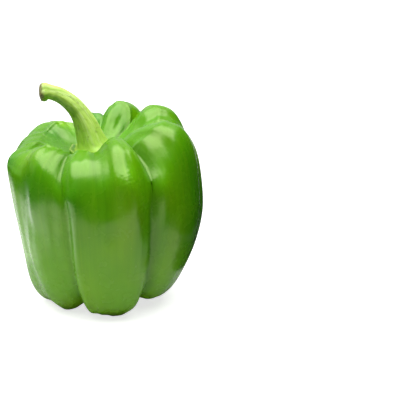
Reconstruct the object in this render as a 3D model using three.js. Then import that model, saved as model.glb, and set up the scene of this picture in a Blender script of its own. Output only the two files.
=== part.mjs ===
// Green bell pepper standing on its lobes, with its calyx and stem.
//
// Frame: millimetres, +Z up, the pepper stands on z = 0. Azimuths are in degrees from +X,
// counter-clockwise seen from above, so 270 is the front.
// The fruit, the calyx and the stem are three closed bodies, a hair's breadth apart.

import * as THREE from 'three';
import { mergeVertices } from 'three/addons/utils/BufferGeometryUtils.js';

// Driving dimensions of the fruit
const CUP_HEIGHT = 68;        // floor of the hollow that the stem stands in
const CUP_RADIUS = 11.5;
const NAVEL_HEIGHT = 9;       // the middle of the underside, drawn up between the feet
const CUP_CENTRE = [-4, 1];   // the cup lies off the middle of the fruit
const GROOVE_INSET = 5;       // how far a full groove lies in from the belly
const GROOVE_RISE = 6;        // how far a full groove's top lies above the cup floor

// The ridges, counter-clockwise. Azimuths are at the shoulder, the belly and the foot.
// wall is the radius at which a ridge is halfway up out of the cup; crest, belly and foot are
// the radius and height of the ridge there.
const RIDGES = [
  { azimuth: [255, 259, 260], wall: 17, crest: [25, 75.8], belly: [41.8, 54], foot: [19.5, 1.2] },
  { azimuth: [290, 287, 284], wall: 17, crest: [27, 82.3], belly: [43, 52], foot: [20.3, -1.1] },
  { azimuth: [340, 337, 352], wall: 14, crest: [33, 85.2], belly: [45, 48], foot: [16.5, 2.4] },
  { azimuth: [34, 36, 38], wall: 20, crest: [31.5, 84.8], belly: [44, 50], foot: [19, -1.1] },
  { azimuth: [72, 74, 76], wall: 18, crest: [30, 83.2], belly: [43, 53], foot: [22, -1.1] },
  { azimuth: [99, 101, 104], wall: 17, crest: [28, 78.6], belly: [43, 55], foot: [22, 0.5] },
  { azimuth: [141, 149, 148], wall: 17, crest: [27.5, 77.2], belly: [43, 59], foot: [22, -1.1] },
  { azimuth: [196, 198, 192], wall: 17, crest: [33, 71.9], belly: [42.3, 63], foot: [25, 1] },
  { azimuth: [224, 227, 215], wall: 17, crest: [29, 78.2], belly: [41.3, 58], foot: [20.5, -1] },
];

// The groove after each ridge. Depths are at the shoulder, the belly and the foot, from 0,
// level with the ridges, to 1, a full groove. Breadth goes from 0, a crease, to 1, a soft dip.
const GROOVES = [
  { azimuth: [268, 272, 271], depth: [0.85, 0.12, 0], breadth: 0.8 },
  { azimuth: [310, 304, 311], depth: [1, 0.85, 0.9], breadth: 0.15 },
  { azimuth: [10, 8, 16], depth: [0.5, 0.3, 0.3], breadth: 0.8 },
  { azimuth: [56.5, 57, 58], depth: [0.9, 0.7, 0.65], breadth: 0.1 },
  { azimuth: [90, 89, 90], depth: [0.55, 0.25, 0.1], breadth: 0.1 },
  { azimuth: [118, 123, 124], depth: [1, 0.7, 0.7], breadth: 0.2 },
  { azimuth: [178, 180, 174], depth: [0.45, 0.4, 0.35], breadth: 1 },
  { azimuth: [208, 218, 205], depth: [0.4, 0.35, 0.1], breadth: 0.8 },
  { azimuth: [242.5, 251, 251], depth: [1, 0.42, 0.9], breadth: 0.3 },
];

const FLANK_POWER = 2.9;      // how round a ridge's flanks are between its grooves
const CREASE_ROUNDING = 0.08; // rounds the bottom of a groove, as a share of its depth

// How a ridge runs between its sizes, each step a share outwards and a share of the height
const CUP_STEPS = [[0, 0], [0.55, 0], [1, 1]];        // of the cup's radius; millimetres up
const WALL_STEPS = [[0, 0.5], [0.5, 0.88]];           // from the wall to the crest
const SHOULDER_STEPS = [[0.52, 0.11], [0.87, 0.42]];  // from the crest down to the belly
const SIDE_STEPS = [[0.92, 0.68], [0.76, 0.4], [0.53, 0.17], [0.27, 0.045]]; // from the foot out
const NAVEL_STEPS = [[0.64, 0.34], [0.28, 0.88], [0, 1]]; // of the foot's radius, of the navel

// The same for the deepest groove: radii and heights near the cup, then shares of its wall
const DEEP_CUP_STEPS = [[14, 0.25], [18.5, 0.55], [23.5, 1]]; // radius, share of the rise
const DEEP_SHOULDER_STEPS = [[30, 2.5], [36, 9]];             // radius, millimetres down
const DEEP_SIDE_STEPS = [[1, 1], [0.95, 0.69], [0.86, 0.43], [0.72, 0.25], [0.58, 0.17]];
const DEEP_NAVEL_STEPS = [[0.42, 0.9], [0.25, 1], [0.12, 1], [0, 1]];

// Driving dimensions of the calyx and the stem
const GAP = 0.3;              // between touching bodies
const CALYX_RADIUS = 10;
const CALYX_THICKNESS = 1.6;
const CALYX_TEETH = 7;
const TOOTH_LENGTH = 0.4;
const TOOTH_LEAN = 0.35;      // how far a tooth leans out, per millimetre up
const CALYX_RIM_RISE = 0.25;
const CALYX_RIM_WIDTH = 0.35;
const CALYX_RIM_DROP = 0.2;    // from the rim's top to its outer edge
const CALYX_UNDERSIDE = 0.45;  // how much higher the underside is near the rim than inside
const CALYX_INNER_SHARE = 0.5; // rings of the collar, as shares of its radius
const CALYX_FLAT_SHARE = 0.85;
const CALYX_UNDER_SHARE = 0.95;
const STEM_RIBS = 5;
const STEM_RIB_DEPTH = 0.05;  // as a share of the stem's radius
const STEM_CUT_SLANT = -0.08; // how far the cut end leans back, per millimetre across it
const STEM_SLANT_START = 0.75; // share of the stem's length where its end starts to lean

// The stem's centre line and radius from the calyx to the cut end: x, y, z, radius.
const STEM_LINE = [
  [-4, 1, 70.6, 8.2],
  [-4.4, 1, 72.4, 6.9],
  [-5.2, 1, 75.5, 6],
  [-6.7, 1, 80.6, 5.1],
  [-9.3, 1, 86.2, 4.2],
  [-13, 1, 90.9, 3.7],
  [-17.4, 1, 94.2, 3.4],
  [-21.8, 0.8, 95.8, 3.3],
  [-24.3, 0.6, 95.9, 4.1],
  [-26.3, 0.3, 95.7, 3.5],
];

// Fineness of the meshes
const COLUMNS_PER_FLANK = 6;
const FRUIT_ROWS = 32;
const CALYX_COLUMNS = 42;
const STEM_COLUMNS = 20;
const STEM_ROWS = 22;

const mix = (a, b, share) => a + (b - a) * share;
const radians = (degrees) => (degrees * Math.PI) / 180;
const smooth = (t) => t * t * (3 - 2 * t);

// Heights of the stations down a profile: 0 the shoulder, 1 the belly, 2 the foot.
const LEVELS = [0, 0, 0, 0, 0, 0, 0.1, 0.45, 1, 1.25, 1.5, 1.8, 2, 2, 2, 2, 2];
const LAST_STATION = LEVELS.length - 1;
const BELLY_STATION = LEVELS.indexOf(1);

// A value given at the shoulder, the belly and the foot, at one level.
function atLevel([shoulder, belly, foot], level) {
  return level <= 1 ? mix(shoulder, belly, level) : mix(belly, foot, level - 1);
}

// Stations [radius, height] down a ridge, from the cup floor over the crest to the navel.
function ridgeProfile({ wall, crest: [crestR, crestZ], belly: [bellyR, bellyZ], foot }) {
  const [footR] = foot;
  return [
    ...CUP_STEPS.map(([r, up]) => [r * CUP_RADIUS, CUP_HEIGHT + up]),
    ...WALL_STEPS.map(([r, up]) => [mix(wall, crestR, r), mix(CUP_HEIGHT, crestZ, up)]),
    [crestR, crestZ],
    ...SHOULDER_STEPS.map(([r, down]) => [mix(crestR, bellyR, r), mix(crestZ, bellyZ, down)]),
    [bellyR, bellyZ],
    ...SIDE_STEPS.map(([r, z]) => [mix(footR, bellyR, r), bellyZ * z]),
    foot,
    ...NAVEL_STEPS.map(([r, z]) => [footR * r, NAVEL_HEIGHT * z]),
  ];
}

// Stations down the deepest groove there can be beside a belly of this radius and height.
function deepGrooveProfile(bellyR, bellyZ) {
  const wall = bellyR - GROOVE_INSET;
  const top = CUP_HEIGHT + GROOVE_RISE;
  return [
    ...CUP_STEPS.map(([r, up]) => [r * CUP_RADIUS, CUP_HEIGHT + up]),
    ...DEEP_CUP_STEPS.map(([r, up]) => [r, mix(CUP_HEIGHT, top, up)]),
    ...DEEP_SHOULDER_STEPS.map(([r, down]) => [r, top - down]),
    ...DEEP_SIDE_STEPS.map(([r, z]) => [wall * r, bellyZ * z]),
    ...DEEP_NAVEL_STEPS.map(([r, z]) => [wall * r, NAVEL_HEIGHT * z]),
  ];
}

// Stations down a groove: the mean of its two ridges, sunk towards the deepest groove.
function grooveProfile(before, after, depth) {
  const a = ridgeProfile(before);
  const b = ridgeProfile(after);
  const deep = deepGrooveProfile(
    (before.belly[0] + after.belly[0]) / 2,
    (before.belly[1] + after.belly[1]) / 2,
  );
  return deep.map((station, row) => station.map((value, axis) => {
    const mean = (a[row][axis] + b[row][axis]) / 2;
    return mix(mean, value, atLevel(depth, LEVELS[row]));
  }));
}

// How far a point of a flank has risen from groove to ridge, for its share of the way.
function flankRise(share, breadth) {
  const crease = 1 - (1 - share) ** FLANK_POWER;
  const rise = mix(crease, smooth(share), breadth);
  const round = (value) => Math.hypot(value, CREASE_ROUNDING) - CREASE_ROUNDING;
  return round(rise) / round(1);
}

// A degree that is no smaller than the one before it, going round counter-clockwise.
const turnedOn = (degree, from) => from + ((((degree - from) % 360) + 360) % 360);

// One column of the fruit: stations [azimuth, radius, height] on the flank between a groove
// and a ridge, share 0 in the groove and 1 on the ridge.
function flankColumn(groove, grooveStations, ridge, share, ridgeFirst) {
  const ridgeStations = ridgeProfile(ridge);
  const rise = flankRise(share, groove.breadth);
  return LEVELS.map((level, row) => {
    const start = atLevelTurned((ridgeFirst ? ridge : groove).azimuth, level);
    const end = turnedOn(atLevelTurned((ridgeFirst ? groove : ridge).azimuth, level), start);
    return [
      mix(start, end, ridgeFirst ? 1 - share : share),
      mix(grooveStations[row][0], ridgeStations[row][0], rise),
      mix(grooveStations[row][1], ridgeStations[row][1], rise),
    ];
  });
}

// An azimuth at one level, where the three values may lie either side of +X.
function atLevelTurned([shoulder, belly, foot], level) {
  const near = (degree) => shoulder + ((((degree - shoulder + 180) % 360) + 360) % 360) - 180;
  return atLevel([shoulder, near(belly), near(foot)], level);
}

// All columns round the fruit, counter-clockwise.
function fruitColumns() {
  const columns = [];
  RIDGES.forEach((ridge, i) => {
    const last = (i + RIDGES.length - 1) % RIDGES.length;
    const next = (i + 1) % RIDGES.length;
    const grooveBefore = grooveProfile(RIDGES[last], ridge, GROOVES[last].depth);
    const grooveAfter = grooveProfile(ridge, RIDGES[next], GROOVES[i].depth);
    for (let k = 0; k < COLUMNS_PER_FLANK; k += 1) {
      const share = k / COLUMNS_PER_FLANK;
      columns.push(flankColumn(GROOVES[last], grooveBefore, ridge, share, false));
    }
    for (let k = 0; k < COLUMNS_PER_FLANK; k += 1) {
      const share = 1 - k / COLUMNS_PER_FLANK;
      columns.push(flankColumn(GROOVES[i], grooveAfter, ridge, share, true));
    }
  });
  return columns;
}

// The value at a place along a list of stations, on a uniform Catmull-Rom curve.
function alongStations(stations, place) {
  const i = Math.min(Math.floor(place), stations.length - 2);
  const t = place - i;
  const pick = (k) => stations[Math.max(0, Math.min(stations.length - 1, i + k))];
  const [a, b, c, d] = [pick(-1), pick(0), pick(1), pick(2)];
  return b.map((_, axis) => 0.5 * (2 * b[axis] + (c[axis] - a[axis]) * t
    + (2 * a[axis] - 5 * b[axis] + 4 * c[axis] - d[axis]) * t ** 2
    + (3 * b[axis] - a[axis] - 3 * c[axis] + d[axis]) * t ** 3));
}

// A closed body from rows of points that run round it, with one point at either end.
function closedBody(firstPoint, rings, lastPoint, name, material) {
  const points = [firstPoint, ...rings.flat(), lastPoint];
  const count = rings[0].length;
  const index = [];
  const at = (ring, k) => 1 + ring * count + (k % count);
  for (let k = 0; k < count; k += 1) {
    index.push(0, at(0, k), at(0, k + 1));
    for (let ring = 0; ring < rings.length - 1; ring += 1) {
      index.push(at(ring, k), at(ring + 1, k), at(ring + 1, k + 1));
      index.push(at(ring, k), at(ring + 1, k + 1), at(ring, k + 1));
    }
    index.push(points.length - 1, at(rings.length - 1, k + 1), at(rings.length - 1, k));
  }
  let geometry = new THREE.BufferGeometry();
  geometry.setAttribute('position', new THREE.Float32BufferAttribute(points.flat(), 3));
  geometry.setIndex(index);
  geometry = mergeVertices(geometry);
  geometry.computeVertexNormals();
  const mesh = new THREE.Mesh(geometry, material);
  mesh.name = name;
  return mesh;
}

// The fruit: a lobed skin from the cup, over the shoulders and down the lobes to the navel.
// Its centre slides from under the stem to the middle by the belly, and its feet are flat.
function makeFruit() {
  const columns = fruitColumns();
  const rings = [];
  for (let row = 1; row < FRUIT_ROWS; row += 1) {
    const place = (LAST_STATION * row) / FRUIT_ROWS;
    const slide = 1 - smooth(Math.min(place / BELLY_STATION, 1));
    rings.push(columns.map((stations) => {
      const [azimuth, radius, height] = alongStations(stations, place);
      return [
        CUP_CENTRE[0] * slide + radius * Math.cos(radians(azimuth)),
        CUP_CENTRE[1] * slide + radius * Math.sin(radians(azimuth)),
        Math.max(height, 0),
      ];
    }));
  }
  const skin = new THREE.MeshStandardMaterial({ color: 0x4f9108, roughness: 0.3 });
  return closedBody([...CUP_CENTRE, CUP_HEIGHT], rings, [0, 0, NAVEL_HEIGHT], 'fruit', skin);
}

// The calyx: a thin saucer on the floor of the cup, with a blunt tooth at the tip of each sepal.
function makeCalyx() {
  const ring = (radius, height, tooth) => Array.from({ length: CALYX_COLUMNS }, (_, k) => {
    const angle = (2 * Math.PI * k) / CALYX_COLUMNS;
    const peak = Math.max(0, Math.cos(angle * CALYX_TEETH)) ** 2 * tooth;
    const reach = radius + TOOTH_LEAN * peak;
    return [
      CUP_CENTRE[0] + reach * Math.cos(angle),
      CUP_CENTRE[1] + reach * Math.sin(angle),
      height + peak,
    ];
  });
  const top = CUP_HEIGHT + GAP + CALYX_THICKNESS;
  const rings = [
    ring(CALYX_INNER_SHARE * CALYX_RADIUS, top, 0),
    ring(CALYX_FLAT_SHARE * CALYX_RADIUS, top, 0),
    ring(CALYX_RADIUS, top + CALYX_RIM_RISE, TOOTH_LENGTH),
    ring(CALYX_RADIUS + CALYX_RIM_WIDTH, top + CALYX_RIM_RISE - CALYX_RIM_DROP, TOOTH_LENGTH),
    ring(CALYX_UNDER_SHARE * CALYX_RADIUS, CUP_HEIGHT + GAP + CALYX_UNDERSIDE, 0),
    ring(CALYX_INNER_SHARE * CALYX_RADIUS, CUP_HEIGHT + GAP, 0),
  ];
  const leaf = new THREE.MeshStandardMaterial({ color: 0x6d9c2a, roughness: 0.5 });
  const below = [...CUP_CENTRE, CUP_HEIGHT + GAP];
  return closedBody([...CUP_CENTRE, top], rings, below, 'calyx', leaf);
}

// The stem: a ribbed stalk along its centre line, flared at the calyx and at the cut end.
function makeStem() {
  const rings = [];
  const line = new THREE.CatmullRomCurve3(STEM_LINE.map(([x, y, z]) => new THREE.Vector3(x, y, z)));
  for (let row = 0; row <= STEM_ROWS; row += 1) {
    const share = row / STEM_ROWS;
    const centre = line.getPoint(share);
    const radius = alongStations(STEM_LINE, share * (STEM_LINE.length - 1))[3];
    const along = row === 0 ? new THREE.Vector3(0, 0, 1) : line.getTangent(share);
    const side = new THREE.Vector3(0, 1, 0);
    const across = new THREE.Vector3().crossVectors(side, along).normalize();
    const lean = Math.max(0, (share - STEM_SLANT_START) / (1 - STEM_SLANT_START));
    const slant = STEM_CUT_SLANT * smooth(lean);
    const ring = [];
    for (let k = 0; k < STEM_COLUMNS; k += 1) {
      const angle = (-2 * Math.PI * k) / STEM_COLUMNS;
      const ribbed = radius * (1 + STEM_RIB_DEPTH * Math.cos(STEM_RIBS * angle));
      const u = ribbed * Math.cos(angle);
      const point = centre.clone();
      point.addScaledVector(across, u);
      point.addScaledVector(side, ribbed * Math.sin(angle));
      point.addScaledVector(along, slant * u);
      ring.push(point.toArray());
    }
    rings.push(ring);
  }
  const stalk = new THREE.MeshStandardMaterial({ color: 0xa3c944, roughness: 0.6 });
  const end = line.getPoint(1).toArray();
  return closedBody(STEM_LINE[0].slice(0, 3), rings, end, 'stem', stalk);
}

const pepper = new THREE.Group();
pepper.name = 'bell_pepper';
pepper.add(makeFruit(), makeCalyx(), makeStem());

// The origin is the middle of the outer box, on the surface that the pepper stands on.
const box = new THREE.Box3().setFromObject(pepper);
const middle = box.getCenter(new THREE.Vector3());
pepper.children.forEach((mesh) => mesh.position.set(-middle.x, -middle.y, 0));

export default pepper;
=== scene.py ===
"""A green bell pepper standing on its lobes: its waxy skin, its calyx and its cut stem.

Shapes are worked out in millimetres and put into their meshes in metres. Azimuths are in
degrees from +X, counter-clockwise seen from above, so 270 is the front.
"""

import math
from collections import namedtuple

import bpy
import numpy as np
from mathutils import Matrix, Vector


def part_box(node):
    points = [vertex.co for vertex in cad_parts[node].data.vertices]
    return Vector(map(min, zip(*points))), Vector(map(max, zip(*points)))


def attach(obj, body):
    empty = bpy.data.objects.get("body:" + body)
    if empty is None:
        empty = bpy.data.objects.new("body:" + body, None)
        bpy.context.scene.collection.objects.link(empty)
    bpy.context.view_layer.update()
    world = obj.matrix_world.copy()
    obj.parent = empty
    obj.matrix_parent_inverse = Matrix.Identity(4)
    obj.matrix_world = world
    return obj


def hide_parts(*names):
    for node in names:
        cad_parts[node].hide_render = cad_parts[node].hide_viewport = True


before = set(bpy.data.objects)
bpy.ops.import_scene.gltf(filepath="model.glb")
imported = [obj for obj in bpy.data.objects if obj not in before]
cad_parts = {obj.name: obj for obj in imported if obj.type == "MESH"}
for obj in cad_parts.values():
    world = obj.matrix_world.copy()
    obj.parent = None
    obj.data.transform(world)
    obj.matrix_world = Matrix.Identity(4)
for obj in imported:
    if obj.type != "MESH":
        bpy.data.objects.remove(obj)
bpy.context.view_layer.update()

MM = 0.001
TINY = 1e-12

# The fruit: its cup, its underside, and the middle of the cup
CUP_HEIGHT = 68
CUP_RADIUS = 11.5
NAVEL_HEIGHT = 9
CUP_CENTRE = (-4, 1)
GROOVE_INSET = 5
GROOVE_RISE = 6
FLANK_POWER = 2.9
CREASE_ROUNDING = 0.08

# The ridges, counter-clockwise: azimuths at shoulder, belly and foot, the radius where a ridge
# is halfway up out of the cup, then the radius and height of the crest, the belly and the foot
Ridge = namedtuple("Ridge", "azimuth wall crest belly foot")
RIDGES = [
    Ridge((255, 259, 260), 17, (25, 75.8), (41.8, 54), (19.5, 1.2)),
    Ridge((290, 287, 284), 17, (27, 82.3), (43, 52), (20.3, -1.1)),
    Ridge((340, 337, 352), 14, (33, 85.2), (45, 48), (16.5, 2.4)),
    Ridge((34, 36, 38), 20, (31.5, 84.8), (44, 50), (19, -1.1)),
    Ridge((72, 74, 76), 18, (30, 83.2), (43, 53), (22, -1.1)),
    Ridge((99, 101, 104), 17, (28, 78.6), (43, 55), (22, 0.5)),
    Ridge((141, 149, 148), 17, (27.5, 77.2), (43, 59), (22, -1.1)),
    Ridge((196, 198, 192), 17, (33, 71.9), (42.3, 63), (25, 1)),
    Ridge((224, 227, 215), 17, (29, 78.2), (41.3, 58), (20.5, -1)),
]

# The groove after each ridge: azimuths and depths at shoulder, belly and foot, and breadth
# from 0, a crease, to 1, a soft dip
Groove = namedtuple("Groove", "azimuth depth breadth")
GROOVES = [
    Groove((268, 272, 271), (0.85, 0.12, 0), 0.8),
    Groove((310, 304, 311), (1, 0.85, 0.9), 0.15),
    Groove((10, 8, 16), (0.5, 0.3, 0.3), 0.8),
    Groove((56.5, 57, 58), (0.9, 0.7, 0.65), 0.1),
    Groove((90, 89, 90), (0.55, 0.25, 0.1), 0.1),
    Groove((118, 123, 124), (1, 0.7, 0.7), 0.2),
    Groove((178, 180, 174), (0.45, 0.4, 0.35), 1),
    Groove((208, 218, 205), (0.4, 0.35, 0.1), 0.8),
    Groove((242.5, 251, 251), (1, 0.42, 0.9), 0.3),
]

# How a ridge runs between its sizes, each step a share outwards and a share of the height: in
# the cup, from its wall to the crest, from crest to belly, from belly to foot, to the navel.
# A cup step's height is in millimetres.
CUP_STEPS = ((0, 0), (0.55, 0), (1, 1))
WALL_STEPS = ((0, 0.5), (0.5, 0.88))
SHOULDER_STEPS = ((0.52, 0.11), (0.87, 0.42))
SIDE_STEPS = ((0.92, 0.68), (0.76, 0.4), (0.53, 0.17), (0.27, 0.045))
NAVEL_STEPS = ((0.64, 0.34), (0.28, 0.88), (0, 1))

# The same for the deepest groove: radius and share of the rise, radius and millimetres down,
# then shares of its wall's radius and of the height of the belly or the navel
DEEP_CUP_STEPS = ((14, 0.25), (18.5, 0.55), (23.5, 1))
DEEP_SHOULDER_STEPS = ((30, 2.5), (36, 9))
DEEP_SIDE_STEPS = ((1, 1), (0.95, 0.69), (0.86, 0.43), (0.72, 0.25), (0.58, 0.17))
DEEP_NAVEL_STEPS = ((0.42, 0.9), (0.25, 1), (0.12, 1), (0, 1))

# Heights of the stations down a profile: 0 the shoulder, 1 the belly, 2 the foot
LEVELS = np.array([0, 0, 0, 0, 0, 0, 0.1, 0.45, 1, 1.25, 1.5, 1.8, 2, 2, 2, 2, 2])
LAST_STATION = len(LEVELS) - 1
BELLY_STATION = 8

# Fine furrows (positive) and low ribs (negative) that run down the skin: azimuth, the
# stations where they start and end, width in degrees and depth in millimetres
Furrow = namedtuple("Furrow", "azimuth start end width depth")
FURROWS = [
    Furrow(280, 4.2, 8, 1.6, 0.25),
    Furrow(293, 3.5, 7.5, 2.0, 0.2),
    Furrow(262, 3.5, 8.0, 2.2, -0.25),
    Furrow(323, 3.5, 7.5, 4.0, 0.6),
    Furrow(24, 2.2, 5.6, 5, 0.9),
    Furrow(36, 2.2, 5.8, 5, -0.5),
    Furrow(47, 2.2, 5.4, 4, 0.7),
    Furrow(64, 2.2, 5.3, 5, 1.3),
    Furrow(78, 2.2, 5.6, 5, -0.6),
    Furrow(88, 2.2, 5.3, 4, 0.5),
    Furrow(105, 2.4, 7, 3, 0.4),
    Furrow(129, 2.8, 7, 4, 0.4),
    Furrow(151, 2.2, 6.4, 9, 0.9),
    Furrow(345, 3.5, 9.5, 3.0, 0.35),
    Furrow(23, 3.5, 8.5, 3.0, 0.5),
    Furrow(47, 5, 8.5, 2.5, 0.3),
    Furrow(80, 3.5, 9.0, 2.0, 0.35),
    Furrow(97, 3.5, 9.5, 2.5, 0.35),
    Furrow(112, 3.5, 9.5, 2.0, 0.3),
    Furrow(138, 3.5, 9.5, 3.0, 0.45),
    Furrow(158, 3.5, 9.5, 3.0, 0.4),
    Furrow(180, 3.5, 9.5, 2.5, 0.3),
    Furrow(215, 3.5, 8.5, 2.0, 0.3),
    Furrow(237, 3.8, 7.2, 1.4, 0.4),
]
FURROW_FADE_IN = 1.2
FURROW_FADE_OUT = 2.5

# Spots on the skin: azimuth, station, width in degrees, length in stations, and amount, which
# for these shallow dents (positive) and swellings (negative) is their depth in millimetres
Spot = namedtuple("Spot", "azimuth station width length amount")
DENTS = [
    Spot(192, 9.4, 9, 1.1, 1.6),
    Spot(228, 8.78, 9, 0.3, 1.0),
    Spot(279, 8.45, 6, 0.35, 0.8),
    Spot(236, 9.3, 7, 0.3, 0.45),
    Spot(220, 9.6, 8, 0.4, -0.4),
    Spot(244, 8.4, 5, 0.5, 0.5),
    Spot(222, 3.6, 16, 0.75, 3.0),
    Spot(196, 3.7, 11, 0.75, 2.2),
    Spot(268, 5, 10, 1, -0.9),
    Spot(270, 6.3, 8, 0.8, -1.6),
    Spot(311, 7.3, 7, 0.45, -2.4),
    Spot(256, 7.5, 6, 0.4, -0.9),
    Spot(291, 7.6, 7, 0.6, -2.8),
    Spot(288, 7.1, 7, 0.4, -1.5),
    Spot(275, 7.25, 6, 0.35, -0.8),
    Spot(300, 9.6, 8, 0.5, 0.4),
    Spot(262, 8.8, 9, 0.45, 0.4),
    Spot(278, 9.5, 8, 0.5, -0.35),
    Spot(328, 9.4, 9, 0.5, 0.4),
    Spot(318, 8.6, 7, 1.2, 0.6),
    Spot(350, 10.0, 12, 1.2, 0.7),
    Spot(60, 9.0, 10, 1.2, 0.7),
    Spot(110, 9.6, 14, 1.2, 0.9),
    Spot(160, 8.8, 12, 1.4, 0.8),
    Spot(196, 9.4, 10, 1.0, 0.8),
]

# Yellower blushes, with their strength
BLUSHES = [
    Spot(288, 8.0, 8, 0.9, 0.4),
    Spot(320, 8.6, 6, 1.6, 0.3),
    Spot(352, 6.6, 9, 0.9, 0.4),
    Spot(48, 5.2, 12, 0.8, 0.4),
    Spot(134, 4.6, 9, 0.9, 0.5),
    Spot(262, 10.6, 12, 1.4, 0.3),
    Spot(216, 6.2, 9, 0.7, 0.3),
    Spot(165, 8.4, 10, 1.4, 0.4),
    Spot(75, 9.4, 10, 1.6, 0.4),
]

# Deeper greens, with their strength: uneven spots of the skin's own green, and painted shade in the
# hollows of the cup, behind the stem and on the right side of the fruit
DEEP_GREENS_AND_SHADE = [
    Spot(226, 7.6, 14, 1, 0.6),
    Spot(257, 7.6, 7, 1, 0.5),
    Spot(203, 7.4, 8, 0.8, 0.4),
    Spot(345, 8, 16, 1.8, 0.8),
    Spot(197, 6.6, 9, 1.0, 0.6),
    Spot(28, 8, 14, 2, 0.5),
    Spot(112, 8.2, 12, 1.4, 0.5),
    Spot(155, 7.4, 9, 1.2, 0.5),
    Spot(72, 6.8, 8, 0.8, 0.4),
    Spot(72, 4, 5, 0.6, 0.6),
    Spot(60, 4, 4, 0.8, 0.5),
    Spot(150, 4.0, 18, 0.9, 0.7),
    Spot(100, 4.4, 12, 1.2, 0.9),
]

# Patches of fine wrinkles, with their strength
WRINKLES = [
    Spot(288, 7.1, 5, 0.35, 2),
    Spot(250, 7.2, 3, 0.3, 0.6),
    Spot(100, 7.2, 5, 0.4, 0.7),
]

# Slow waves of the skin: how many go round the fruit, radians per station along it, and
# height in millimetres. They fade out near the cup and near the navel.
Wave = namedtuple("Wave", "around along height")
WAVES = [
    Wave(5, 0.5, 0.22),
    Wave(9, 0.8, 0.14),
    Wave(14, 0.6, 0.1),
    Wave(23, 1.1, 0.06),
    Wave(37, 0.9, 0.05),
    Wave(61, 1.6, 0.02),
]
COPIES_OF_A_WAVE = 3
WAVES_START = 2.5
WAVES_END = LAST_STATION - 2
WAVES_FADE = 2
SEED = 7

# The fold where the shoulder turns into the cup: its station, width in stations and height.
# At the front it lies nearer to the cup; elsewhere it swells and sinks round the fruit.
LIP_STATION = 4.75
LIP_WIDTH = 0.2
LIP_HEIGHT = 0.55
LIP_SHIFT = 0.45
LIP_SWELLINGS = 5
LIP_UNEVENNESS = 0.5
FRONT_NARROWNESS = 6

# The calyx; its shares are of its radius, and its teeth lean out by a share of their length.
# Their lengths vary by two waves round it, each a count, a phase and a height.
GAP = 0.3
CALYX_RADIUS = 10
CALYX_THICKNESS = 1.6
CALYX_TEETH = 7
TOOTH_LENGTH = 0.4
TOOTH_LEAN = 0.35
TOOTH_UNEVENNESS = ((2, 1, 0.25), (3, 0, 0.15))
CALYX_RIM_RISE = 0.25
CALYX_RIM_WIDTH = 0.35
CALYX_RIM_DROP = 0.2
CALYX_UNDERSIDE = 0.45
CALYX_INNER_SHARE = 0.5
CALYX_FLAT_SHARE = 0.85
CALYX_UNDER_SHARE = 0.97
CALYX_RIB_HEIGHT = 0.12
CALYX_RIBS_START = 0.8
CALYX_RIBS_END = 3.2

# The stem; depths of ribs and knobs are shares of its radius, and places along it are shares
# of its length. Each knob wave goes so many times round it, and so many radians along it.
STEM_RIBS = 5
STEM_RIB_DEPTH = 0.05
STEM_TWIST = 0.5
STEM_KNOB_DEPTH = 0.012
STEM_KNOB_WAVES = ((9, 14), (2, 31))
STEM_CUT_SLANT = -0.08
STEM_SLANT_START = 0.75
STEM_ROUNDING = 0.25
STEM_ROUNDING_START = 0.95

# The stem's finer ribs: their count, phase and depth, and how fast they rise from the calyx
FineRibs = namedtuple("FineRibs", "count phase depth speed")
STEM_FINE_RIBS = [FineRibs(17, 1, 0.004, 4), FineRibs(29, 2, 0.003, 3)]

# The stem's centre line and radius, from the calyx to the cut end: x, y, z, radius
STEM_LINE = np.array([
    [-4, 1, 70.6, 8.2],
    [-4.4, 1, 72.4, 6.9],
    [-5.2, 1, 75.5, 6],
    [-6.7, 1, 80.6, 5.1],
    [-9.3, 1, 86.2, 4.2],
    [-13, 1, 90.9, 3.7],
    [-17.4, 1, 94.2, 3.4],
    [-21.8, 0.8, 95.8, 3.3],
    [-24.3, 0.6, 95.9, 4.1],
    [-26.3, 0.3, 95.7, 3.5],
])

# How fine the streaks of the skin and the fibres of the stem are, on a grain that runs once
# round a circle of radius 1 and from 0 to 1 lengthwise: streaks 1.3 mm wide at the belly and
# some 50 mm long, fibres 0.7 mm wide and 6 mm long
STREAK_FINENESS = (34, 34, 3)
FIBRE_FINENESS = (6, 6, 7)

# Fineness of the meshes
COLUMNS_PER_FLANK = 20
FRUIT_ROWS = 250
CALYX_COLUMNS = 280
CALYX_ROWS = 60
STEM_COLUMNS = 160
STEM_ROWS = 240

# The studio, in metres: the white table, and cards that show only as reflections in the skin.
# An upright black card and a black sheet lie at the right, a white sheet at the left.
TABLE_LEFT, TABLE_RIGHT, TABLE_FRONT, TABLE_BACK = -0.15, 1.5, -0.135, 3.0
TABLE_GLOW = 0.72
ROOM_GLOW = 0.05
SHEET_HEIGHT = 0.001
CARD_ROUGHNESS = 0.9
CARD_X, CARD_FRONT, CARD_BACK, CARD_FOOT, CARD_TOP = 0.078, -0.07, 0.12, 0.002, 0.13
BLACK_SHEET_CORNERS = ((0.048, -0.02), (CARD_X, -0.02), (CARD_X, CARD_BACK), (0.03, CARD_BACK))
WHITE_SHEET_RIGHT, WHITE_SHEET_BACK = -0.06, 0.3

# The studio's lights: place, the point that each faces, size in metres and power in watts
Softbox = namedtuple("Softbox", "name place target size power")
SOFTBOXES = [
    Softbox("overhead_panel", (-0.07, -0.06, 1.15), (-0.07, -0.06, 0), (1.85, 1.36), 37),
    Softbox("back_wall", (-0.1, 1.25, 0.65), (0, 0, 0.06), (2.3, 1.25), 6),
    Softbox("left_wall", (-1.2, 0.3, 0.6), (0, 0, 0.06), (1.2, 0.8), 1.5),
]

# The camera: how far it stands off, how far it looks down in degrees, the photograph's width
# in pixels, its scale at the pepper's own distance, the pixel where the middle of the
# pepper's base lies, the sensor's width in millimetres, and where sight starts in metres
CAMERA_DISTANCE = 600
CAMERA_DIP = 20
PHOTO_WIDTH = 400
PIXELS_PER_MM = 2.19
BASE_PIXEL = (109.8, 295.5)
SENSOR_WIDTH = 36
CLIP_START = 0.01


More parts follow.
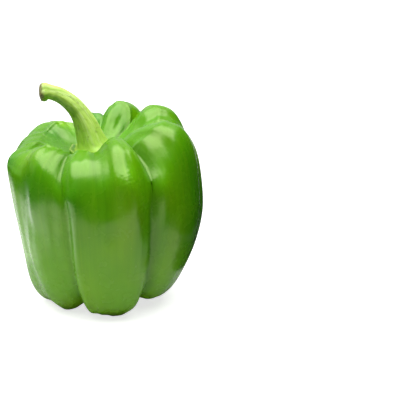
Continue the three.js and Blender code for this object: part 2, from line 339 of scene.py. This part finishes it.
def smooth(t):
    """Rises from 0 to 1 with level ends: three t squared less two t cubed, t held to 0 to 1."""
    t = np.clip(t, 0, 1)
    return t * t * (3 - 2 * t)


def mix(a, b, share):
    """The value that lies share of the way from a to b."""
    return a + (b - a) * share


def along_stations(stations, place):
    """A uniform Catmull-Rom curve through the stations on axis -2, at every place given."""
    count = stations.shape[-2]
    first = np.clip(np.floor(place).astype(int), 0, count - 2)
    t = (place - first)[:, None]
    near = [np.clip(first + k, 0, count - 1) for k in (-1, 0, 1, 2)]
    a, b, c, d = (np.take(stations, each, axis=-2) for each in near)
    return 0.5 * (
        2 * b + (c - a) * t + (2 * a - 5 * b + 4 * c - d) * t**2 + (3 * b - a - 3 * c + d) * t**3
    )


def cup_stations():
    """Radius and height out along the cup's floor, which ridges and grooves share."""
    return [(share * CUP_RADIUS, CUP_HEIGHT + rise) for share, rise in CUP_STEPS]


def ridge_stations(ridge):
    """Radius and height down a ridge: the cup floor, up to the crest, out to the belly, and
    in to the foot and the navel, each as shares of the ridge's own sizes."""
    crest_r, crest_z = ridge.crest
    belly_r, belly_z = ridge.belly
    foot_r = ridge.foot[0]
    return np.array([
        *cup_stations(),
        *((mix(ridge.wall, crest_r, r), mix(CUP_HEIGHT, crest_z, up)) for r, up in WALL_STEPS),
        ridge.crest,
        *((mix(crest_r, belly_r, r), mix(crest_z, belly_z, down)) for r, down in SHOULDER_STEPS),
        ridge.belly,
        *((mix(foot_r, belly_r, r), belly_z * z) for r, z in SIDE_STEPS),
        ridge.foot,
        *((foot_r * r, NAVEL_HEIGHT * z) for r, z in NAVEL_STEPS),
    ])


def deep_groove_stations(belly_r, belly_z):
    """Radius and height down the deepest groove beside a belly of this radius and height."""
    wall = belly_r - GROOVE_INSET
    top = CUP_HEIGHT + GROOVE_RISE
    return np.array([
        *cup_stations(),
        *((r, mix(CUP_HEIGHT, top, up)) for r, up in DEEP_CUP_STEPS),
        *((r, top - down) for r, down in DEEP_SHOULDER_STEPS),
        *((wall * r, belly_z * z) for r, z in DEEP_SIDE_STEPS),
        *((wall * r, NAVEL_HEIGHT * z) for r, z in DEEP_NAVEL_STEPS),
    ])


def groove_stations(before, after, groove):
    """The mean of the two ridges' stations, sunk towards the deepest groove by its depth."""
    mean = (ridge_stations(before) + ridge_stations(after)) / 2
    belly_r, belly_z = (np.array(before.belly) + np.array(after.belly)) / 2
    depth = np.interp(LEVELS, [0, 1, 2], groove.depth)[:, None]
    return mix(mean, deep_groove_stations(belly_r, belly_z), depth)


def azimuth_stations(azimuth):
    """The azimuth at every station, in degrees, from its values at shoulder, belly and foot."""
    near = [azimuth[0] + (value - azimuth[0] + 180) % 360 - 180 for value in azimuth]
    return np.interp(LEVELS, [0, 1, 2], near)


def flank_rise(share, breadth):
    """How far a flank has risen from groove to ridge, for its share of the way: a round
    flank that starts in a crease, blended with a soft dip, with the very bottom rounded."""
    crease = 1 - (1 - share) ** FLANK_POWER
    rise = mix(crease, smooth(share), breadth)
    rounded = np.hypot(rise, CREASE_ROUNDING) - CREASE_ROUNDING
    return rounded / (math.hypot(1, CREASE_ROUNDING) - CREASE_ROUNDING)


def fruit_columns():
    """Azimuth, radius and height at every station of every column round the fruit, and how
    deep in a groove it lies there. Columns run from groove to ridge and on."""
    columns = []
    share = np.arange(COLUMNS_PER_FLANK)[:, None, None] / COLUMNS_PER_FLANK
    for i, ridge in enumerate(RIDGES):
        ridge_rz = ridge_stations(ridge)
        ridge_az = azimuth_stations(ridge.azimuth)
        for groove, before, after, climbing in (
            (GROOVES[i - 1], RIDGES[i - 1], ridge, True),
            (GROOVES[i], ridge, RIDGES[(i + 1) % len(RIDGES)], False),
        ):
            groove_rz = groove_stations(before, after, groove)
            groove_az = azimuth_stations(groove.azimuth)
            way = share if climbing else 1 - share
            rise = flank_rise(way, groove.breadth)
            start, end = (groove_az, ridge_az) if climbing else (ridge_az, groove_az)
            azimuth = start + ((end - start) % 360) * share[:, :, 0]
            sunk = (1 - rise[:, :, 0]) * np.interp(LEVELS, [0, 1, 2], groove.depth)
            rz = mix(groove_rz, ridge_rz, rise)
            columns.append(np.concatenate([azimuth[:, :, None], rz, sunk[:, :, None]], axis=2))
    columns = np.concatenate(columns)
    columns[:, :, 0] = np.unwrap(np.radians(columns[:, :, 0]), axis=0)
    return columns


def turned_apart(azimuth, centre):
    """Degrees from a centre azimuth, the short way round, for azimuths in radians."""
    return (np.degrees(azimuth) - centre + 180) % 360 - 180


def bells(spots, azimuth, place):
    """The sum of bell curves both ways, one for each spot, each as high as its amount."""
    total = np.zeros_like(azimuth)
    for spot in spots:
        across = (turned_apart(azimuth, spot.azimuth) / spot.width) ** 2
        down = ((place - spot.station) / spot.length) ** 2
        total += spot.amount * np.exp(-across - down)
    return total


def carved_depth(azimuth, place):
    """How deep the skin is carved, in millimetres: dents are bell-shaped both ways, and
    furrows are bell curves across the azimuth that fade in and out along the profile."""
    carved = bells(DENTS, azimuth, place)
    for furrow in FURROWS:
        across = np.exp(-((turned_apart(azimuth, furrow.azimuth) / furrow.width) ** 2))
        fade_in = smooth((place - furrow.start) / FURROW_FADE_IN)
        fade_out = smooth((furrow.end - place) / FURROW_FADE_OUT)
        carved += furrow.depth * across * fade_in * fade_out
    return carved


def slow_waves(azimuth, place):
    """The unevenness of a grown surface, in millimetres: for each wave a few products of a
    cosine round the fruit and one along it, of seeded phase and count."""
    rng = np.random.default_rng(SEED)
    relief = np.zeros_like(azimuth)
    for wave in WAVES:
        for _ in range(COPIES_OF_A_WAVE):
            phases = rng.uniform(0, 2 * math.pi, 2)
            turns = wave.around + rng.integers(-1, 2)
            across = np.cos(turns * azimuth + phases[0])
            relief += wave.height * across * np.cos(wave.along * place + phases[1])
    starting = smooth((place - WAVES_START) / WAVES_FADE)
    return relief * starting * smooth((WAVES_END - place) / WAVES_FADE)


def cup_lip(azimuth, place):
    """The height of the fold round the cup, in millimetres: a bell curve along the profile,
    whose height follows a cosine of the azimuth except at the front."""
    facing = np.maximum(0, -np.sin(azimuth)) ** FRONT_NARROWNESS
    station = LIP_STATION - LIP_SHIFT * facing
    lip = LIP_HEIGHT * np.exp(-(((place - station) / LIP_WIDTH) ** 2))
    return lip * (1 + LIP_UNEVENNESS * np.cos(LIP_SWELLINGS * azimuth) * (1 - facing))


def grid_normals(points):
    """Outward unit normals of a grid closed round its first axis, from the cross product of
    its steps along and around."""
    around = np.roll(points, -1, axis=0) - np.roll(points, 1, axis=0)
    along = np.gradient(points, axis=1)
    normals = np.cross(along, around)
    return normals / (np.linalg.norm(normals, axis=2, keepdims=True) + TINY)


def fruit_surface():
    """The fruit as a grid of azimuth by place along the profile, from the cup floor to the
    navel. Radius and height follow the stations; the centre of each level slides from the
    cup to the middle by the belly; the skin's relief is added along the normal; and what
    would lie below the surface that it stands on is flat."""
    columns = fruit_columns()
    place = np.linspace(0, LAST_STATION, FRUIT_ROWS + 1)[1:-1]
    azimuth, radius, height, sunk = np.moveaxis(along_stations(columns, place), 2, 0)
    slide = 1 - smooth(place / BELLY_STATION)
    x = CUP_CENTRE[0] * slide + radius * np.cos(azimuth)
    y = CUP_CENTRE[1] * slide + radius * np.sin(azimuth)
    points = np.stack([x, y, height], axis=2)
    places = np.broadcast_to(place, azimuth.shape)
    relief = slow_waves(azimuth, places) + cup_lip(azimuth, places) - carved_depth(azimuth, places)
    points = points + grid_normals(points) * relief[:, :, None]
    points[:, :, 2] = np.maximum(points[:, :, 2], 0)
    length = places / LAST_STATION
    traits = {
        "sunk": sunk,
        "blush": bells(BLUSHES, azimuth, places),
        "deep": bells(DEEP_GREENS_AND_SHADE, azimuth, places),
        "wrinkled": bells(WRINKLES, azimuth, places),
        "place": length,
        "grain": np.stack([np.cos(azimuth), np.sin(azimuth), length], axis=2),
    }
    return points, traits


def calyx_surface():
    """The calyx as a grid of angle by place: a saucer whose profile runs over its top, round
    its rim and back below, with pointed teeth where a cosine of the angle peaks, and faint
    ribs that run out from the stem, two to a tooth."""
    angle = np.arange(CALYX_COLUMNS) * 2 * math.pi / CALYX_COLUMNS
    base = CUP_HEIGHT + GAP
    top = base + CALYX_THICKNESS
    profile = np.array([
        (0, top, 0),
        (CALYX_INNER_SHARE * CALYX_RADIUS, top, 0),
        (CALYX_FLAT_SHARE * CALYX_RADIUS, top, 0.05),
        (CALYX_RADIUS, top + CALYX_RIM_RISE, 1),
        (CALYX_RADIUS + CALYX_RIM_WIDTH, top + CALYX_RIM_RISE - CALYX_RIM_DROP, 1),
        (CALYX_UNDER_SHARE * CALYX_RADIUS, base + CALYX_UNDERSIDE, 0),
        (CALYX_INNER_SHARE * CALYX_RADIUS, base, 0),
        (0, base, 0),
    ])
    place = np.linspace(0, len(profile) - 1, CALYX_ROWS + 1)[1:-1]
    radius, height, at_rim = along_stations(profile, place).T
    peak = np.maximum(0, np.cos(angle * CALYX_TEETH)) ** 2 * TOOTH_LENGTH
    uneven = 1 + sum(h * np.cos(count * angle + phase) for count, phase, h in TOOTH_UNEVENNESS)
    tooth = (peak * uneven)[:, None] * np.clip(at_rim, 0, 1)
    ribs = CALYX_RIB_HEIGHT * np.cos(angle * CALYX_TEETH * 2)[:, None]
    ribs = ribs * smooth((place - CALYX_RIBS_START) * 2) * smooth((CALYX_RIBS_END - place) * 2)
    r = radius + TOOTH_LEAN * tooth
    x = CUP_CENTRE[0] + r * np.cos(angle)[:, None]
    y = CUP_CENTRE[1] + r * np.sin(angle)[:, None]
    points = np.stack([x, y, height + tooth + ribs], axis=2)
    rim = smooth((at_rim - 0.5) * 2) * np.ones((CALYX_COLUMNS, 1))
    return points, {"rim": rim}


def stem_surface():
    """The stem as a grid of angle by place: circles carried along its centre line, with broad
    ribs that twist a little, finer ones that fade towards the calyx, and low knobs, which are
    a product of two askew cosines. The cut end is slightly slanted and rounded."""
    angle = -np.arange(STEM_COLUMNS) * 2 * math.pi / STEM_COLUMNS
    share = np.linspace(0, 1, STEM_ROWS + 1)
    line = along_stations(STEM_LINE, share * (len(STEM_LINE) - 1))
    centre, radius = line[:, :3], line[:, 3]
    tangent = np.gradient(centre, axis=0)
    tangent[0] = (0, 0, 1)
    tangent /= np.linalg.norm(tangent, axis=1, keepdims=True)
    side = np.array([0.0, 1.0, 0.0])
    across = np.cross(side, tangent)
    across /= np.linalg.norm(across, axis=1, keepdims=True)
    turn = angle[:, None] + STEM_TWIST * share[None, :]
    ribs = STEM_RIB_DEPTH * np.cos(STEM_RIBS * turn)
    for fine in STEM_FINE_RIBS:
        ribs = ribs + fine.depth * np.cos(fine.count * turn + fine.phase) * smooth(share * fine.speed)
    waves = [np.cos(around * angle[:, None] + along * share) for around, along in STEM_KNOB_WAVES]
    at_end = smooth((share - STEM_ROUNDING_START) / (1 - STEM_ROUNDING_START))
    rounding = 1 - STEM_ROUNDING * at_end**2
    ribbed = radius * (1 + ribs + STEM_KNOB_DEPTH * waves[0] * waves[1]) * rounding
    u = ribbed * np.cos(angle)[:, None]
    v = ribbed * np.sin(angle)[:, None]
    slant = STEM_CUT_SLANT * smooth((share - STEM_SLANT_START) / (1 - STEM_SLANT_START))
    lean = (slant * u)[:, :, None] * tangent
    points = centre + u[:, :, None] * across + v[:, :, None] * side + lean
    lengthwise = np.broadcast_to(share, turn.shape)
    traits = {
        "share": lengthwise,
        # how far round towards its underside a point lies, which guides the painted shade there
        "shaded_underside": np.broadcast_to((1 - np.cos(angle)[:, None]) / 2, turn.shape),
        "grain": np.stack([np.cos(turn), np.sin(turn), lengthwise], axis=2),
    }
    return points, traits


def closed_mesh(name, first, points, last, traits):
    """A mesh object from a grid that is closed round its first axis, with one point at either
    end of its second. Traits are values for each grid point, kept as attributes."""
    columns, rows = points.shape[:2]
    rings = points.transpose(1, 0, 2).reshape(-1, 3)
    vertices = np.concatenate([[first], rings, [last]]) * MM
    here = np.arange(columns)
    following = (here + 1) % columns
    ring = 1 + np.arange(rows - 1)[:, None] * columns
    corners = [ring + here, ring + columns + here, ring + columns + following, ring + following]
    quads = np.stack(corners, axis=2).reshape(-1, 4)
    final = 1 + (rows - 1) * columns
    tip = np.full(columns, len(vertices) - 1)
    first_fan = np.stack([0 * here, 1 + here, 1 + following], axis=1)
    last_fan = np.stack([tip, final + following, final + here], axis=1)
    faces = quads.tolist() + first_fan.tolist() + last_fan.tolist()
    mesh = bpy.data.meshes.new(name)
    mesh.from_pydata(vertices.tolist(), [], faces)
    mesh.shade_smooth()
    for trait, values in traits.items():
        flat = values.swapaxes(0, 1).reshape(columns * rows, -1)
        flat = np.vstack([flat[:columns].mean(0), flat, flat[-columns:].mean(0)])
        kind, field = ("FLOAT", "value") if flat.shape[1] == 1 else ("FLOAT_VECTOR", "vector")
        data = mesh.attributes.new(trait, kind, "POINT").data
        data.foreach_set(field, flat.astype(np.float32).ravel())
    mesh.update()
    piece = bpy.data.objects.new(name, mesh)
    bpy.context.scene.collection.objects.link(piece)
    return piece


def linear(hex_colour):
    """The linear colour of an sRGB hex value such as #4f9108."""
    values = [int(hex_colour[i:i + 2], 16) / 255 for i in (1, 3, 5)]
    return [v / 12.92 if v <= 0.04045 else ((v + 0.055) / 1.055) ** 2.4 for v in values] + [1]


def add(tree, kind, inputs=None, out=0, stops=(), **settings):
    """Adds a node with its settings and links, and gives back one of its outputs. inputs maps
    a socket's name or number to a value or to the output that feeds it; stops are the
    positions and hex colours of a colour ramp."""
    node = tree.nodes.new(kind)
    for name, value in settings.items():
        setattr(node, name, value)
    for position, _ in stops[2:]:
        node.color_ramp.elements.new(position)
    for i, (position, colour) in enumerate(stops):
        node.color_ramp.elements[i].position = position
        node.color_ramp.elements[i].color = linear(colour)
    for key, value in (inputs or {}).items():
        if isinstance(value, bpy.types.NodeSocket):
            tree.links.new(value, node.inputs[key])
        else:
            node.inputs[key].default_value = value
    return node.outputs[out] if node.outputs else None


# One coat of colour: the value that it follows, where that value is low and high, how much of
# the coat shows at either, and its colour
Coat = namedtuple("Coat", "value low high at_low at_high colour")


def paint(tree, colour, coats):
    """Lays coats over a colour, one after another."""
    for coat in coats:
        reach = {0: coat.value, 1: coat.low, 2: coat.high, 3: coat.at_low, 4: coat.at_high}
        amount = add(tree, "ShaderNodeMapRange", reach, interpolation_type="SMOOTHSTEP")
        layers = {0: amount, 6: colour, 7: linear(coat.colour)}
        colour = add(tree, "ShaderNodeMix", layers, out=2, data_type="RGBA")
    return colour


def fineness(feature_mm):
    """The scale on Object coordinates of a noise whose features are this wide."""
    return 1 / (feature_mm * MM)


def new_material(name):
    """An empty node material and its tree."""
    material = bpy.data.materials.new(name)
    material.use_nodes = True
    material.node_tree.nodes.clear()
    return material, material.node_tree


def waxy_pepper_skin():
    """Green pepper skin: a thin clear wax over deep green flesh. The wax gives a broad soft
    gloss, duller in places, that the flesh below tints green; its IOR is that of plant wax.
    The green is deep and uneven: streaked along the lobes, yellower in some spots and deeper in others.
    Painted light makes it paler and yellower towards the feet, as if lit from the table below; painted
    shade darkens the creases, the inside of the cup and some of the deeper spots. Pores are drawn
    0.9 mm apart, coarser than life, so that they show."""
    material, tree = new_material("waxy_pepper_skin")
    where = add(tree, "ShaderNodeTexCoord", out="Object")
    grain = add(tree, "ShaderNodeAttribute", out="Vector", attribute_name="grain")
    sunk, blush, deep, place, wrinkled = (
        add(tree, "ShaderNodeAttribute", out="Fac", attribute_name=name)
        for name in ("sunk", "blush", "deep", "place", "wrinkled")
    )
    patches = add(tree, "ShaderNodeTexNoise", {"Vector": where, "Scale": fineness(26), "Detail": 2})
    greens = [(0.3, "#4f9a02"), (0.5, "#59a202"), (0.7, "#6bac04")]
    green = add(tree, "ShaderNodeValToRGB", {0: patches}, stops=greens)
    along = add(tree, "ShaderNodeMapping", {"Vector": grain, "Scale": STREAK_FINENESS})
    streaks = add(tree, "ShaderNodeTexNoise", {
        "Vector": along, "Scale": 1, "Detail": 4, "Roughness": 0.6,
    })
    green = paint(tree, green, [
        Coat(streaks, 0.5, 0.8, 0, 0.35, "#84b814"),
        Coat(streaks, 0.5, 0.25, 0, 0.25, "#3c8402"),
        Coat(place, 0.3, 0.46, 0.8, 0, "#558e02"),
        # partly painted shade: the inside of the cup is painted a darker green, for the shade in that
        # hollow as well as its own deeper green
        Coat(place, 0.26, 0.33, 0.8, 0, "#569a03"),
        # painted light: the lower belly and the feet are painted paler and yellower, for light bounced
        # up from the white table
        Coat(place, 0.5, 0.66, 0, 0.6, "#72b80c"),
        Coat(place, 0.66, 0.8, 0, 0.75, "#90c020"),
    ])
    # deeper green spots, in part painted shade, then yellower blushes
    for amount, colour in ((deep, "#2f8203"), (blush, "#8fc406")):
        layers = {0: amount, 6: green, 7: linear(colour)}
        green = add(tree, "ShaderNodeMix", layers, out=2, data_type="RGBA")
    # painted shade: the skin is painted darker the deeper it lies in a groove
    green = paint(tree, green, [Coat(sunk, 0.45, 0.9, 0, 0.5, "#2c6403")])

    dulling = add(tree, "ShaderNodeTexNoise", {"Vector": where, "Scale": fineness(7), "Detail": 3})
    gloss = {0: dulling, 1: 0.3, 2: 0.7, 3: 0.2, 4: 0.31}
    rough = add(tree, "ShaderNodeMapRange", gloss, interpolation_type="SMOOTHSTEP")

    ripples = add(tree, "ShaderNodeTexNoise", {"Vector": along, "Scale": 1.7, "Detail": 3})
    pores = add(tree, "ShaderNodeTexNoise", {"Vector": where, "Scale": fineness(0.9), "Detail": 2})
    height = add(tree, "ShaderNodeMath", {0: pores, 1: 0.35, 2: ripples}, operation="MULTIPLY_ADD")
    folds = add(tree, "ShaderNodeTexNoise", {"Vector": where, "Scale": fineness(1.4), "Detail": 2})
    wrinkles = add(tree, "ShaderNodeMath", {0: folds, 1: wrinkled}, operation="MULTIPLY")
    height = add(tree, "ShaderNodeMath", {0: wrinkles, 1: 2.5, 2: height}, operation="MULTIPLY_ADD")
    bump = {"Height": height, "Strength": 0.3, "Distance": 0.25 * MM}
    skin = add(tree, "ShaderNodeBsdfPrincipled", {
        "Base Color": green,
        "Roughness": rough,
        "IOR": 1.45,
        "Normal": add(tree, "ShaderNodeBump", bump),
        "Subsurface Weight": 0.12,
        "Subsurface Radius": (0.5, 1.0, 0.2),
        "Subsurface Scale": 2.5 * MM,
        "Specular IOR Level": 0.8,
        "Specular Tint": (0.95, 1.0, 0.58, 1.0),
    })
    add(tree, "ShaderNodeOutputMaterial", {"Surface": skin})
    return material


def fleshy_calyx_leaf():
    """Calyx: a thin fleshy collar, satin, mid green with a paler edge."""
    material, tree = new_material("fleshy_calyx_leaf")
    where = add(tree, "ShaderNodeTexCoord", out="Object")
    rim = add(tree, "ShaderNodeAttribute", out="Fac", attribute_name="rim")
    patches = add(tree, "ShaderNodeTexNoise", {"Vector": where, "Scale": fineness(4), "Detail": 4})
    greens = [(0.3, "#4c8210"), (0.55, "#649a1a"), (0.75, "#80aa34")]
    green = add(tree, "ShaderNodeValToRGB", {0: patches}, stops=greens)
    edge = add(tree, "ShaderNodeMath", {0: rim, 1: 0.55}, operation="MULTIPLY")
    layers = {0: edge, 6: green, 7: linear("#b0cc60")}
    bump = {"Height": patches, "Strength": 0.3, "Distance": 0.4 * MM}
    leaf = add(tree, "ShaderNodeBsdfPrincipled", {
        "Base Color": add(tree, "ShaderNodeMix", layers, out=2, data_type="RGBA"),
        "Roughness": 0.45,
        "Normal": add(tree, "ShaderNodeBump", bump),
        "Subsurface Weight": 0.15,
        "Subsurface Radius": (0.6, 1.0, 0.3),
        "Subsurface Scale": 2 * MM,
    })
    add(tree, "ShaderNodeOutputMaterial", {"Surface": leaf})
    return material


def ribbed_stem_rind():
    """Stem: a pale yellow-green rind, satin and finely fibred, darker green in patches and near the
    calyx, with an uneven brown edge where the cut end has dried. Its underside is painted a darker
    green as painted shade."""
    material, tree = new_material("ribbed_stem_rind")
    where = add(tree, "ShaderNodeTexCoord", out="Object")
    grain = add(tree, "ShaderNodeAttribute", out="Vector", attribute_name="grain")
    share, shaded_underside = (
        add(tree, "ShaderNodeAttribute", out="Fac", attribute_name=name) for name in ("share", "shaded_underside")
    )
    along = add(tree, "ShaderNodeMapping", {"Vector": grain, "Scale": FIBRE_FINENESS})
    fibres = add(tree, "ShaderNodeTexNoise", {
        "Vector": along, "Scale": 1, "Detail": 5, "Roughness": 0.6,
    })
    rinds = [(0.3, "#a4d040"), (0.5, "#c0e268"), (0.72, "#d8eca0")]
    rind = add(tree, "ShaderNodeValToRGB", {0: fibres}, stops=rinds)
    patches = add(tree, "ShaderNodeTexNoise", {"Vector": where, "Scale": fineness(6), "Detail": 3})
    flecks = add(tree, "ShaderNodeTexNoise", {"Vector": where, "Scale": fineness(1.6), "Detail": 2})
    dried = add(tree, "ShaderNodeMath", {0: patches, 1: 0.3, 2: share}, operation="MULTIPLY_ADD")
    rind = paint(tree, rind, [
        # painted shade: the stem's underside is painted a darker green
        Coat(shaded_underside, 0.45, 0.9, 0, 0.7, "#8cba24"),
        Coat(patches, 0.52, 0.7, 0, 0.6, "#86b826"),
        Coat(flecks, 0.56, 0.7, 0, 0.45, "#6f8a2a"),
        Coat(share, 0.02, 0.4, 0.65, 0, "#9ac832"),
        Coat(dried, 1.0, 1.1, 0, 0.9, "#6a5a3a"),
    ])
    bump = {"Height": fibres, "Strength": 0.25, "Distance": 0.4 * MM}
    stalk = add(tree, "ShaderNodeBsdfPrincipled", {
        "Base Color": rind,
        "Roughness": 0.5,
        "Normal": add(tree, "ShaderNodeBump", bump),
        "Subsurface Weight": 0.2,
        "Subsurface Radius": (0.8, 1.0, 0.3),
        "Subsurface Scale": 2 * MM,
    })
    add(tree, "ShaderNodeOutputMaterial", {"Surface": stalk})
    return material


def matt_card(name, colour):
    """Matt card of one colour."""
    material, tree = new_material(name)
    inputs = {"Base Color": linear(colour), "Roughness": CARD_ROUGHNESS}
    card = add(tree, "ShaderNodeBsdfPrincipled", inputs)
    add(tree, "ShaderNodeOutputMaterial", {"Surface": card})
    return material


def studio_paper():
    """Matt white paper, lit from below as on a light table: the camera sees it brighter than
    the pepper does, so that its shadows stay faint."""
    material, tree = new_material("studio_paper")
    paper = add(tree, "ShaderNodeBsdfDiffuse", {"Color": linear("#cccccc")})
    table = add(tree, "ShaderNodeEmission", {"Color": linear("#ffffff"), "Strength": TABLE_GLOW})
    camera_ray = add(tree, "ShaderNodeLightPath", out="Is Camera Ray")
    glow = add(tree, "ShaderNodeMixShader", {0: camera_ray, 2: table})
    lit = add(tree, "ShaderNodeAddShader", {0: paper, 1: glow})
    add(tree, "ShaderNodeOutputMaterial", {"Surface": lit})
    return material


def dress(piece, material, node):
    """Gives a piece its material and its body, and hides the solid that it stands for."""
    piece.data.materials.append(material)
    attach(piece, "root")
    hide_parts(node)


def make_pepper():
    """The three pieces, moved together so that the fruit stands where its solid does."""
    fruit, fruit_traits = fruit_surface()
    low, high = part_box("fruit")
    solid_middle = np.array((low + high) / 2) / MM
    fruit_middle = (fruit.min(axis=(0, 1)) + fruit.max(axis=(0, 1))) / 2
    shift = solid_middle - fruit_middle
    shift[2] = 0
    cup = np.array([*CUP_CENTRE, CUP_HEIGHT]) + shift
    navel = np.array([0, 0, NAVEL_HEIGHT]) + shift
    skin = closed_mesh("pepper_fruit", cup, fruit + shift, navel, fruit_traits)
    dress(skin, waxy_pepper_skin(), "fruit")

    calyx, calyx_traits = calyx_surface()
    calyx_top = cup + (0, 0, GAP + CALYX_THICKNESS)
    calyx_base = cup + (0, 0, GAP)
    collar = closed_mesh("pepper_calyx", calyx_top, calyx + shift, calyx_base, calyx_traits)
    dress(collar, fleshy_calyx_leaf(), "calyx")

    stem, stem_traits = stem_surface()
    foot = STEM_LINE[0, :3] + shift
    tip = STEM_LINE[-1, :3] + shift
    stalk = closed_mesh("pepper_stem", foot, stem + shift, tip, stem_traits)
    dress(stalk, ribbed_stem_rind(), "stem")


def add_card(name, corners, material):
    """A flat four-cornered sheet of the studio, which isn't part of the pepper."""
    mesh = bpy.data.meshes.new(name)
    mesh.from_pydata(corners, [], [(0, 1, 2, 3)])
    mesh.materials.append(material)
    card = bpy.data.objects.new(name, mesh)
    bpy.context.scene.collection.objects.link(card)
    return card


def add_softbox(softbox):
    """A rectangular soft light that the camera doesn't see, turned towards its target."""
    light = bpy.data.lights.new(softbox.name, "AREA")
    light.shape = "RECTANGLE"
    light.size, light.size_y = softbox.size
    light.energy = softbox.power
    lamp = bpy.data.objects.new(softbox.name, light)
    bpy.context.scene.collection.objects.link(lamp)
    lamp.location = softbox.place
    lamp.visible_camera = False
    way = Vector(softbox.target) - lamp.location
    lamp.rotation_euler = way.to_track_quat("-Z", "Y").to_euler()


def level_corners(left, right, front, back, height):
    """The four corners of a level rectangle."""
    return [(left, front, height), (right, front, height), (right, back, height), (left, back, height)]


def make_room():
    """A dim room that is white to the camera only."""
    world = bpy.data.worlds.new("studio_room")
    bpy.context.scene.world = world
    world.use_nodes = True
    tree = world.node_tree
    tree.nodes.clear()
    white = linear("#ffffff")
    room = add(tree, "ShaderNodeBackground", {"Color": white, "Strength": ROOM_GLOW})
    seen = add(tree, "ShaderNodeBackground", {"Color": white, "Strength": 1.0})
    camera_ray = add(tree, "ShaderNodeLightPath", out="Is Camera Ray")
    mixed = add(tree, "ShaderNodeMixShader", {0: camera_ray, 1: room, 2: seen})
    add(tree, "ShaderNodeOutputWorld", {"Surface": mixed})


def make_studio():
    """The white table, the cards beside the pepper, the soft lights and the room."""
    table = level_corners(TABLE_LEFT, TABLE_RIGHT, TABLE_FRONT, TABLE_BACK, 0)
    add_card("studio_floor", table, studio_paper())

    black = matt_card("black_card", "#060a03")
    white = matt_card("white_card", "#fbfbfb")
    upright = [
        (CARD_X, CARD_FRONT, CARD_FOOT),
        (CARD_X, CARD_BACK, CARD_FOOT),
        (CARD_X, CARD_BACK, CARD_TOP),
        (CARD_X, CARD_FRONT, CARD_TOP),
    ]
    dark = [(x, y, SHEET_HEIGHT) for x, y in BLACK_SHEET_CORNERS]
    pale = level_corners(TABLE_LEFT, WHITE_SHEET_RIGHT, TABLE_FRONT, WHITE_SHEET_BACK, SHEET_HEIGHT)
    cards = (("black_flag", upright, black), ("black_sheet", dark, black), ("white_sheet", pale, white))
    for name, corners, material in cards:
        card = add_card(name, corners, material)
        card.visible_camera = False
        card.visible_shadow = False

    for softbox in SOFTBOXES:
        add_softbox(softbox)
    make_room()


def make_camera():
    """A camera square to the front, looking down, placed so that the middle of the base
    lands on its pixel."""
    data = bpy.data.cameras.new("photo_camera")
    camera = bpy.data.objects.new("photo_camera", data)
    bpy.context.scene.collection.objects.link(camera)
    bpy.context.scene.camera = camera
    data.sensor_width = SENSOR_WIDTH
    data.lens = SENSOR_WIDTH * PIXELS_PER_MM * CAMERA_DISTANCE / PHOTO_WIDTH
    data.clip_start = CLIP_START
    dip = math.radians(CAMERA_DIP)
    forward = np.array([0, math.cos(dip), -math.sin(dip)])
    up = np.array([0, math.sin(dip), math.cos(dip)])
    right = np.array([1, 0, 0])
    aside, below = ((pixel - PHOTO_WIDTH / 2) / PIXELS_PER_MM for pixel in BASE_PIXEL)
    camera.location = Vector((below * up - aside * right - CAMERA_DISTANCE * forward) * MM)
    camera.rotation_euler = (math.radians(90 - CAMERA_DIP), 0, 0)


bpy.context.scene.view_settings.view_transform = "Standard"
make_camera()
make_studio()
make_pepper()
